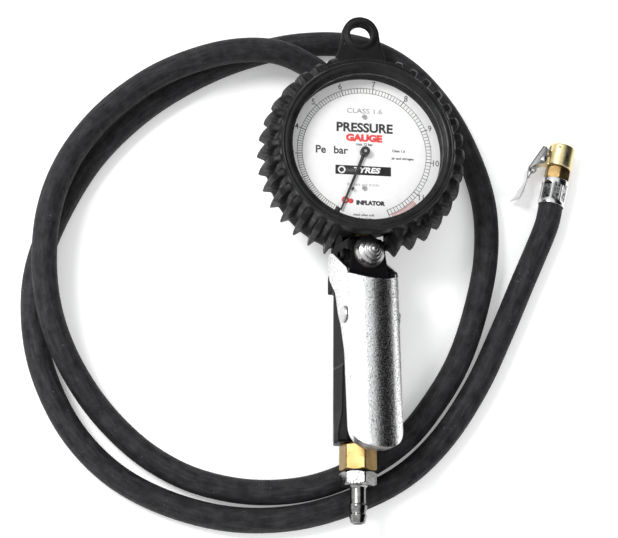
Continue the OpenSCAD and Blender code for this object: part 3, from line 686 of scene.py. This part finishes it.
# Printed places of 0 to 12 bar, in degrees clockwise from the top
BAR_ANGLES = [-156, -135.5, -115, -93.3, -70.6, -45.8, -20.1, 7.4, 35.8, 66.8, 96.2, 127.6, 158.7]
RING_IN, RING_OUT = 32.4, 35.0


def scale_angle(bar):
    """Clockwise angle from the top, in radians, of a pressure on the scale."""
    i = min(int(bar), 11)
    return math.radians(BAR_ANGLES[i] + (BAR_ANGLES[i + 1] - BAR_ANGLES[i]) * (bar - i))


def arc_strip(r0, r1, a0, a1, steps=90):
    """A printed arc between two radii."""
    angles = [a0 + (a1 - a0) * k / steps for k in range(steps + 1)]
    inner, outer = ([(r * math.sin(a), r * math.cos(a)) for a in angles] for r in (r0, r1))
    return joined(*(prism([inner[k], inner[k + 1], outer[k + 1], outer[k]], INK_LOW, INK_HIGH)
                    for k in range(steps)))


def tick(angle, r0, r1, width):
    """A printed mark along a radius; width is half of its width."""
    c, s = math.cos(angle), math.sin(angle)
    quad = [(r * s + w * c, r * c - w * s) for r, w in ((r0, -width), (r1, -width), (r1, width), (r0, width))]
    return prism(quad, INK_LOW, INK_HIGH)


START, END = scale_angle(0), scale_angle(12)
LINE = 0.12
ladder = [arc_strip(r - LINE, r + LINE, START, END) for r in (RING_IN, RING_OUT)]
for n in range(121):
    past_ring, half_width = (1.0, 0.2) if n % 10 == 0 else (0.45, 0.15) if n % 5 == 0 else (0, LINE)
    ladder.append(tick(scale_angle(n / 10), RING_IN, RING_OUT + past_ring, half_width))
piece("dial_scale", joined(*ladder), DIAL, "gun", INK["line"], smooth=0)


def words(text, size, x, y, bold=0.0, stretch=1.0, lean=0.0, lift=0.0):
    """Generic lettering as a thin solid, centred on x, y."""
    curve = bpy.data.curves.new("words", "FONT")
    curve.body = text
    curve.size = size
    curve.offset = bold
    curve.extrude = 0.012
    curve.resolution_u = 4
    curve.align_x, curve.align_y = "CENTER", "CENTER"
    obj = bpy.data.objects.new("words", curve)
    scene.collection.objects.link(obj)
    bpy.context.view_layer.update()
    mesh = bpy.data.meshes.new_from_object(obj.evaluated_get(bpy.context.evaluated_depsgraph_get()))
    verts = [((v.co.x + lean * v.co.y) * stretch + x, v.co.y + y, v.co.z + 0.03 + lift)
             for v in mesh.vertices]
    faces = [tuple(p.vertices) for p in mesh.polygons]
    bpy.data.objects.remove(obj)
    bpy.data.curves.remove(curve)
    bpy.data.meshes.remove(mesh)
    return verts, faces


NUMBER_R = 37.4
numbers = []
for n in range(1, 12):
    a = scale_angle(n)
    numbers.append(words(str(n), 4.5, NUMBER_R * math.sin(a), NUMBER_R * math.cos(a), 0.01, stretch=0.9))
numbers += [words("Pe", 5.6, -22.8, 0.6, 0.13), words("bar", 5.6, -12.4, 0.6, 0.13)]
piece("dial_numbers", joined(*numbers), DIAL, "gun", INK["black"], smooth=0)
black_marks = [
    words("PRESSURE", 6.7, 0, 13.2, 0.24, stretch=1.02), words("max 12 bar", 1.9, 0, 4.4, 0.06),
    words("Class 1.6", 1.9, 17.8, 1.7, 0.06), words("air and nitrogen", 1.8, 20.0, -2.3, 0.06),
    words("INFLATOR", 3.0, 3.1, -27.0, 0.22, stretch=1.04),
    words("check when cold", 1.6, -0.4, -33.4, 0.04), words("0 to 12 bar", 1.6, 0.6, -35.4, 0.04),
]
plate = prism([(-15.1, -12.1), (13.9, -12.1), (13.9, -7.2), (-15.1, -7.2)], INK_LOW, INK_HIGH)
zero_block = prism([(-1.4, 32.7), (1.4, 32.7), (1.4, 35.1), (-1.4, 35.1)], INK_LOW, INK_HIGH)
black_marks.append(turned_about(zero_block, -scale_angle(0)))
piece("dial_black_print", joined(plate, *black_marks), DIAL, "gun", INK["black"], smooth=0)
ring_mark = lathe([(1.2, 0.045), (2.0, 0.045), (2.0, 0.07), (1.2, 0.07)], 40, closed=True)[:2]
white_marks = [words("TYRES", 4.0, 1.2, -9.6, 0.16, stretch=1.25, lean=0.22, lift=0.03),
               turned_about(ring_mark, 0, -11.8, -9.65)]
piece("dial_white_print", joined(*white_marks), DIAL, "gun", INK["white"], smooth=0)
blob = lathe([(0.9, INK_LOW), (1.9, INK_LOW), (1.9, INK_HIGH), (0.9, INK_HIGH)], 40, closed=True)[:2]
blob_b = lathe([(0, INK_LOW), (1.35, INK_LOW), (1.35, INK_HIGH), (0, INK_HIGH)], 40)[:2]
red_marks = [words("GAUGE", 4.9, -0.2, 7.7, 0.34, stretch=1.14), turned_about(blob, 0, -9.9, -25.8),
             turned_about(blob_b, 0, -7.0, -26.2)]
piece("dial_red_print", joined(*red_marks), DIAL, "gun", INK["red"], smooth=0)
grey_rows = [words("CLASS 1.6", 3.6, 0, 22.4, 0.06, stretch=1.22),
             words("for cars and trucks", 2.2, -0.6, -17.2, 0.03)]
piece("dial_grey_print", joined(*grey_rows), DIAL, "gun", INK["grey"], smooth=0)
red_zone = [arc_strip(r0, r1, math.radians(134), math.radians(157), 24)
            for r0, r1 in ((35.3, 35.7), (37.6, 37.9))]
red_zone += [tick(math.radians(134.5 + 1.35 * n), 35.6, 37.6, 0.26) for n in range(17)]
piece("dial_red_zone", joined(*red_zone), DIAL, "gun", INK["pale_red"], smooth=0)

# Pointer hub ---------------------------------------------------------------------------------

hub = lathe(rounded([(0, 2.6), (1.9, 2.6), (2.4, 2.0), (2.45, 1.2), (2.3, 1.2)], 0.2, closed=False), 48)
piece("pointer_hub", hub, DIAL, "pointer", LOOKS["pointer_black"])
pip = rounded([(0, 3.45), (0.55, 3.35), (0.75, 3.0), (0.8, 2.5)], 0.15, closed=False)
piece("pointer_pip", lathe(pip, 32), DIAL, "pointer", LOOKS["steel"])

# Gun body ------------------------------------------------------------------------------------

cad_body = NODES["gun_body"].data
body_shape = [tuple(v.co / MM) for v in cad_body.vertices], [tuple(p.vertices) for p in cad_body.polygons]
# shoulders that fill the neck between the lever's ears, above the cross bar's window
shoulder = prism([(-22, 6), (-22, 14), (-14.5, 17.6), (-11.5, 17.2), (-1.5, 7.0), (-0.5, 5.4), (-8, 5.2)],
                 -12.05, 12.05, axis="x")
boss = block(-12.0, -8.6, 1.0, 5.4, 5.0, 9.2)
extras = [([tuple((GRIP @ (Vector(v) * MM)) / MM) for v in s[0]], s[1]) for s in (shoulder, boss)]
body = fused("gun_shell", [body_shape] + extras, WORLD, 0.45, 4)
finish_piece(body, "gun", LOOKS["body_black"], ("gun_body",), smooth=0)

# Lever ---------------------------------------------------------------------------------------

HALF, CREST, SHOULDER, SHEET = 14.0, 6.4, 5.0, 1.6
ARC_R = (HALF * HALF + CREST * CREST) / (2 * CREST)
TOP_Y, TIP_Y, TIP_START = 20.5, -69.9, -57.0
FLANGE = [(-71, 2), (-64, 0.6), (-19, -1.5), (-4, -5.5), (3, -9), (15, -12), (19, -15.6), (24, -20)]


def flange_low(y):
    for (y0, z0), (y1, z1) in zip(FLANGE, FLANGE[1:]):
        if y <= y1:
            return z0 + (z1 - z0) * (y - y0) / (y1 - y0)
    return FLANGE[-1][1]


def lever_half(y):
    if y > TIP_START:
        return HALF
    t = min((TIP_START - y) / (TIP_START - TIP_Y), 0.998)
    return HALF * (1 - t ** 2.4) ** (1 / 2.4)


def lever_row(y, count=26):
    """The sheet's outer line across at y: flange, fold, crest, fold, flange."""
    w = lever_half(y)
    crown = lambda x: SHOULDER + CREST - ARC_R + math.sqrt(ARC_R ** 2 - x * x)
    low = flange_low(y)
    line = [(-w, low), (-w, low + 0.5 * (crown(w) - low)), (-w, crown(w))]
    across_face = [w * math.sin(math.pi / 2 * (2 * k / count - 1)) for k in range(1, count)]
    line += [(x, crown(x)) for x in across_face]
    line += [(w, crown(w)), (w, low + 0.5 * (crown(w) - low)), (w, low)]
    soft = min(2.0, w * 0.4)
    out = []
    for i, p in enumerate(line):
        if i in (2, len(line) - 3):
            a, b, c = Vector(line[i - 1]), Vector(p), Vector(line[i + 1])
            s = b + (a - b).normalized() * min(soft, (a - b).length * 0.9)
            e = b + (c - b).normalized() * min(soft * 0.55, (c - b).length * 0.9)
            out += [bezier(s, b, e, t) for t in (0, 0.2, 0.4, 0.6, 0.8, 1)]
        else:
            out.append(p)
    return out


def face_top(x):
    """How far up the face runs: hollowed in the middle."""
    return TOP_Y - 3.6 * (1 - min(abs(x) / (HALF - 0.6), 1) ** 2)


rows = [TIP_Y + 0.03 + (TIP_START - TIP_Y) * (1 - math.cos(math.pi / 2 * k / 26)) for k in range(27)]
rows += [TIP_START + (TOP_Y - TIP_START) * k / 46 for k in range(1, 47)]
lever_verts, lever_faces = [], []
for y in rows:
    for x, z in lever_row(y):
        t = max(0.0, (y - 4.0) / (TOP_Y - 4.0))
        lever_verts.append((x, y - t * t * (TOP_Y - face_top(x)), z))
width = len(lever_row(0))
for i in range(len(rows) - 1):
    for k in range(width - 1):
        a = i * width + k
        lever_faces.append((a, a + 1, a + width + 1, a + width))
tip_row = list(range(width))
for k in range(width // 2 - 1):
    lever_faces.append((tip_row[k], tip_row[width - 1 - k], tip_row[width - 2 - k], tip_row[k + 1]))
lever_mesh = piece("lever_face", (lever_verts, lever_faces), LEVER, "lever", LOOKS["lever_chrome"],
                   ("lever",), smooth=0)
thick = lever_mesh.modifiers.new("sheet", "SOLIDIFY")
thick.thickness = (SHEET - 0.3) * MM
thick.offset = -1
thick.use_even_offset = True
edge = lever_mesh.modifiers.new("edge", "BEVEL")
edge.width = 0.25 * MM
edge.segments = 2
edge.limit_method = "ANGLE"
edge.angle_limit = math.radians(50)
baked(lever_mesh)
lever_mesh.data.shade_smooth()
lever_mesh.data.set_sharp_from_angle(angle=math.radians(50))
ear_line = [(20.4, 4.4), (21.6, 5.0), (23.6, 4.2), (33, -9), (37.6, -15.5), (38, -19.5), (36, -21.6),
            (30, -21.6), (24, -20), (20.4, -16.8)]
ear = rounded(ear_line, 1.6, keep=(0, 9))
ears = joined(prism(ear, -HALF, -HALF + SHEET, axis="x"), prism(ear, HALF - SHEET, HALF, axis="x"))
piece("lever_ears", ears, LEVER, "lever", LOOKS["lever_chrome"], bevel=0.3)

# Pivot pin through both cheeks, with low domed heads -----------------------------------------

SHANK, HEAD, REACH = 2.5, 4.5, 14.3
end = [(HEAD, REACH), (HEAD, REACH + 0.3), (HEAD * 0.9, REACH + 0.9), (HEAD * 0.55, REACH + 1.35),
       (0, REACH + 1.5)]
pin_line = [(r, -h) for r, h in reversed(end)] + [(SHANK, -REACH), (SHANK, REACH)] + end
verts, faces, uv = lathe(pin_line, 48)
verts = [(z, x + PIVOT_Y, y + PIVOT_H) for x, y, z in verts]
piece("pivot_pin", (verts, faces, uv), GRIP, "gun", LOOKS["steel"], ("lever_pin",))

# Valve bonnet: a stepped plug ------------------------------------------------------------------

VALVE = GRIP @ Matrix.Translation((0, VALVE_Y * MM, 0))
FACE_H = 15.6
PLUG_STEPS = [(8.0, 0), (8.0, 1.1), (7.5, 1.7), (6.7, 3.0), (5.6, 3.8), (5.0, 3.9), (5.0, 4.9), (4.5, 5.4),
              (3.7, 5.7), (3.3, 5.8), (3.3, 6.9), (2.8, 7.4), (1.4, 7.5), (1.3, 8.1), (0.9, 8.4), (0, 8.4)]
plug = rounded([(6.0, 11.3), (6.0, FACE_H)] + [(r, FACE_H + h) for r, h in PLUG_STEPS], 0.25, closed=False)
spring_well = [(0, 19.2), (4.5, 19.2), (4.5, 11.3)]
piece("stepped_plug", lathe(spring_well + plug, 96), VALVE, "gun", LOOKS["steel"], ("valve_bonnet",))

# Inlet -------------------------------------------------------------------------------------------


def hexagon(af):
    """A radius limit that turns a lathe into a chamfered hexagon."""
    flat = af / 2

    def limit(r, a, h):
        t = (a + math.pi / 6) % (math.pi / 3) - math.pi / 6
        corner = min(flat / math.cos(t), flat * 1.128)
        return min(r, corner)
    return limit


def fine(profile, gap, chosen=lambda a, b: True):
    """The profile with points added along its chosen stretches."""
    out = [profile[0]]
    for a, b in zip(profile, profile[1:]):
        n = max(1, int(math.dist(a, b) / gap)) if chosen(a, b) else 1
        out += [(a[0] + (b[0] - a[0]) * k / n, a[1] + (b[1] - a[1]) * k / n) for k in range(1, n + 1)]
    return out


def stations(profile):
    """The profile with points added so that a hexagon's chamfer curves are smooth."""
    return fine(profile, 0.35, lambda a, b: abs(a[0] - b[0]) > 0.2 and a[0] > 5 and b[0] > 5)


HEX_END, NUT_START, NUT_END, TAIL_END = -107.5, -108.1, -115.1, -134.0
AF = 17.0


def along_y(profile):
    """Heights along the lathe's axis run towards -Y, so y is given as it is in the grip's frame."""
    return [(r, -y) for r, y in profile]


bush = stations([(3.0, -94.0), (8.3, -94.0), (9.6, -94.8), (9.7, -95.0), (9.7, HEX_END + 1.0),
                 (9.6, HEX_END + 0.8), (8.3, HEX_END), (5.05, HEX_END), (5.05, HEX_END + 8)])
piece("brass_bushing", lathe(along_y(bush), 144, "y", hexagon(AF)), GRIP, "gun", LOOKS["brass"],
      ("inlet_bushing",), smooth=28)
seal = rounded([(5.1, NUT_START), (8.4, NUT_START), (8.4, HEX_END), (5.1, HEX_END)], 0.2)
piece("inlet_washer", lathe(along_y(seal), 72, "y", closed=True), GRIP, "gun", LOOKS["seal_rubber"],
      ("inlet_seal",))
nut = stations([(4.9, HEX_END + 7.4), (4.9, NUT_START), (8.3, NUT_START), (9.6, NUT_START - 0.8),
                (9.7, NUT_START - 1.0), (9.7, NUT_END + 1.1), (9.6, NUT_END + 0.9), (8.1, NUT_END),
                (5.2, NUT_END)])
BARBS = [(5.2, 0), (4.3, 0.7), (4.1, 1.5), (4.1, 9.0), (4.6, 9.7), (4.6, 10.2), (4.0, 14.0), (4.6, 14.4),
         (4.55, 14.9), (3.7, 18.3)]
tail = rounded([(r, NUT_END - h) for r, h in BARBS] + [(3.1, TAIL_END), (2.5, TAIL_END), (2.5, NUT_END)], 0.2,
               closed=False)
piece("barbed_tail", lathe(along_y(nut + tail[1:]), 144, "y", hexagon(AF)), GRIP, "gun", LOOKS["nickel"],
      ("hose_tail",), smooth=28)

# Chuck ---------------------------------------------------------------------------------------------

LOBES = 8
CRIMP_START, CRIMP_END, CRIMP_R = 1.6, 12.0, 6.68


def crimp(r, a, y):
    """Flats pressed into the ferrule, with a soft start and end."""
    y = -y
    if r < 6.9 or not CRIMP_START < y < CRIMP_END:
        return r
    t = min(y - CRIMP_START, CRIMP_END - y, 1.0)
    t = t * t * (3 - 2 * t)
    pitch = 2 * math.pi / LOBES
    off = (a + pitch / 2) % pitch - pitch / 2
    flat = min(CRIMP_R / math.cos(off), r)
    return r + (flat - r) * t


ferrule = rounded([(6.62, 0), (7.2, 0), (7.2, 14.5), (3.6, 14.5), (3.6, 13.1), (6.62, 13.1)], 0.35)
ferrule_shape = lathe(along_y(fine(ferrule + ferrule[:1], 0.45)), 192, "y", crimp)
ferrule_piece = piece("crimped_ferrule", ferrule_shape, CHUCK, "gun", ferrule_look(),
                      ("end_ferrule",), smooth=60)
collar = stations([(1.6, 13.3), (3.5, 13.3), (3.5, 14.5), (5.9, 14.5), (6.9, 15.2), (7.0, 15.4), (7.0, 20.6),
                   (6.9, 20.8), (5.9, 21.5), (4.5, 21.5), (4.5, 24.4), (1.6, 24.4), (1.6, 13.3)])
collar_piece = piece("brass_collar", lathe(along_y(collar), 144, "y", hexagon(12.4)), CHUCK, "gun",
                     LOOKS["brass"], ("chuck_collar",), smooth=28)
shell_line = rounded([(4.6, 21.6), (6.5, 21.6), (7.1, 22.2), (7.1, 33.6), (6.2, 34.5), (4.7, 34.5),
                      (4.1, 33.9), (4.1, 28.0), (4.62, 28.0)], 0.35)
lug = block(-11.3, -4.6, 21.7, 26.0, -2.9, 2.9)
jaw_slot = block(-9, -3, 28.7, 32.8, -2.6, 2.6)
mark = block(-4.4, -1.6, 31.6, 32.4, 6.1, 9)
chuck_shell = fused("chuck_shell", [lathe(along_y(shell_line), 96, "y", closed=True)[:2], lug], CHUCK, 0.2, 4,
                    (jaw_slot, mark))
finish_piece(chuck_shell, "gun", PALE_BRASS, ("chuck_body",), smooth=0)

cheek = rounded([(-9, 30.9), (-11.2, 30.9), (-14, 24), (-17.2, 16), (-16.4, 15.6), (-13.6, 19.0),
                 (-11.6, 19.8), (-8.2, 22.2), (-7.6, 25)], 0.8)
CLIP_W, CLIP_T = 4.1, 0.7


def strip(line, t, low, high):
    """A bent strip of sheet: a centre line made t thick, then given a width along z."""
    left, back_side = [], []
    for i, p in enumerate(line):
        a, b = Vector(line[max(i - 1, 0)]), Vector(line[min(i + 1, len(line) - 1)])
        d = (b - a).normalized()
        n = Vector((-d.y, d.x)) * t / 2
        left.append(tuple(Vector(p) + n))
        back_side.append(tuple(Vector(p) - n))
    return prism(left + back_side[::-1], low, high)


spine = rounded([(-10.85, 30.9), (-13.65, 23.8), (-16.8, 16), (-16.2, 10), (-17.2, 2), (-18.65, -2.1)],
                2.2, 5, closed=False)
spine_sheet = strip(spine, CLIP_T, -CLIP_W, CLIP_W)
# the thumb tail splays: its lower edge stands further out
spine_verts = [(x - (0.32 * max(0.0, 11 - y) ** 0.85 if z < 0 else 0), y, z) for x, y, z in spine_sheet[0]]
jaw = strip([(-11.1, 30.45), (-5.2, 30.45)], 0.8, -2.3, 2.3)
clip_shape = joined(prism(cheek, CLIP_W - CLIP_T, CLIP_W), prism(cheek, -CLIP_W, -CLIP_W + CLIP_T),
                    (spine_verts, spine_sheet[1]), jaw)
clip_piece = piece("clip_sheet", clip_shape, CHUCK, "clip", SHEET_STEEL, ("clip_lever",), bevel=0.12)
RIVET_X, RIVET_Y = -9.5, 23.7
rivet = lathe([(0, -5.1), (0.9, -5.0), (1.5, -4.6), (1.5, -4.3), (1.0, -4.3), (1.0, 4.3), (1.5, 4.3),
               (1.5, 4.6), (0.9, 5.0), (0, 5.1)], 40)
rivet_verts = [(x + RIVET_X, y + RIVET_Y, z) for x, y, z in rivet[0]]
rivet_piece = piece("clip_rivet", (rivet_verts, *rivet[1:]), CHUCK, "gun", LOOKS["steel"],
                    ("clip_pin",))


def wire(points, radius, sides=10):
    """A round wire along points."""
    verts, faces = [], []
    pts = [Vector(p) for p in points]
    ref = Vector((0.3, 0.2, 1)).normalized()
    for i, p in enumerate(pts):
        d = (pts[min(i + 1, len(pts) - 1)] - pts[max(i - 1, 0)]).normalized()
        u = d.cross(ref).normalized()
        v = d.cross(u)
        turns = [2 * math.pi * k / sides for k in range(sides)]
        verts += [tuple(p + radius * (math.cos(a) * u + math.sin(a) * v)) for a in turns]
        if i:
            b = (i - 1) * sides
            faces += [(b + k, b + (k + 1) % sides, b + sides + (k + 1) % sides, b + sides + k)
                      for k in range(sides)]
    faces += [tuple(range(sides - 1, -1, -1)), tuple(range(len(verts) - sides, len(verts)))]
    return verts, faces


COIL_X, COIL_Y, COIL_R = -13.3, 17.6, 1.5
coil_turns = [k * math.pi / 8 for k in range(77)]
coil = [(COIL_X + COIL_R * math.cos(a), COIL_Y + COIL_R * math.sin(a), -2.2 + 0.115 * a) for a in coil_turns]
legs = [(-11.7, 20.6, -2.3), (-12.0, 19.0, -2.3)] + coil + [(-14.6, 14.4, 2.2), (-15.4, 11.4, 2.2)]
spring_piece = piece("clip_coil", wire(legs, 0.32), CHUCK, "gun", LOOKS["steel"], ("clip_spring",))

# Floor, light --------------------------------------------------------------------------------------

floor_mesh = bpy.data.meshes.new("floor")
floor_mesh.from_pydata([(-4, -4, 0), (4, -4, 0), (4, 4, 0), (-4, 4, 0)], [], [(0, 1, 2, 3)])
floor = bpy.data.objects.new("floor", floor_mesh)
scene.collection.objects.link(floor)
floor_mesh.materials.append(paint("floor_look", (0.93, 0.93, 0.93), (0.95, 0.95, 0.95), (0.7, 0.8), 0.0))
floor_shader = floor_mesh.materials[0].node_tree.nodes["Principled BSDF"]
floor_shader.inputs["Emission Color"].default_value = (1, 1, 1, 1)
floor_shader.inputs["Emission Strength"].default_value = 0.26

world = bpy.data.worlds.new("studio")
scene.world = world
world.use_nodes = True
sky = world.node_tree.nodes["Background"]
sky.inputs[0].default_value = (0.98, 0.99, 1, 1)
# bright above and to the left, dark to the right, as between a softbox and a black flag
heading = world.node_tree.nodes.new("ShaderNodeTexCoord")
parts = world.node_tree.nodes.new("ShaderNodeSeparateXYZ")
ramp = world.node_tree.nodes.new("ShaderNodeMapRange")
ramp.interpolation_type = "SMOOTHSTEP"
for socket, value in (("From Min", 0.14), ("From Max", 0.44), ("To Min", 0.86), ("To Max", 0.01)):
    ramp.inputs[socket].default_value = value
world.node_tree.links.new(heading.outputs["Generated"], parts.inputs[0])
world.node_tree.links.new(parts.outputs["X"], ramp.inputs["Value"])
world.node_tree.links.new(ramp.outputs[0], sky.inputs[1])


def softbox(name, place, size, power):
    """A square lamp that faces the origin."""
    data = bpy.data.lights.new(name, "AREA")
    data.shape = "RECTANGLE"
    data.size = data.size_y = size
    data.energy = power
    lamp = bpy.data.objects.new(name, data)
    lamp.location = place
    lamp.rotation_euler = (-Vector(place)).to_track_quat("-Z", "Y").to_euler()
    scene.collection.objects.link(lamp)
    return lamp


softbox("key", (-0.9, 0.35, 1.25), 0.5, 16)
fill = softbox("fill", (0.9, -0.6, 1.2), 0.9, 9)
fill.visible_glossy = False
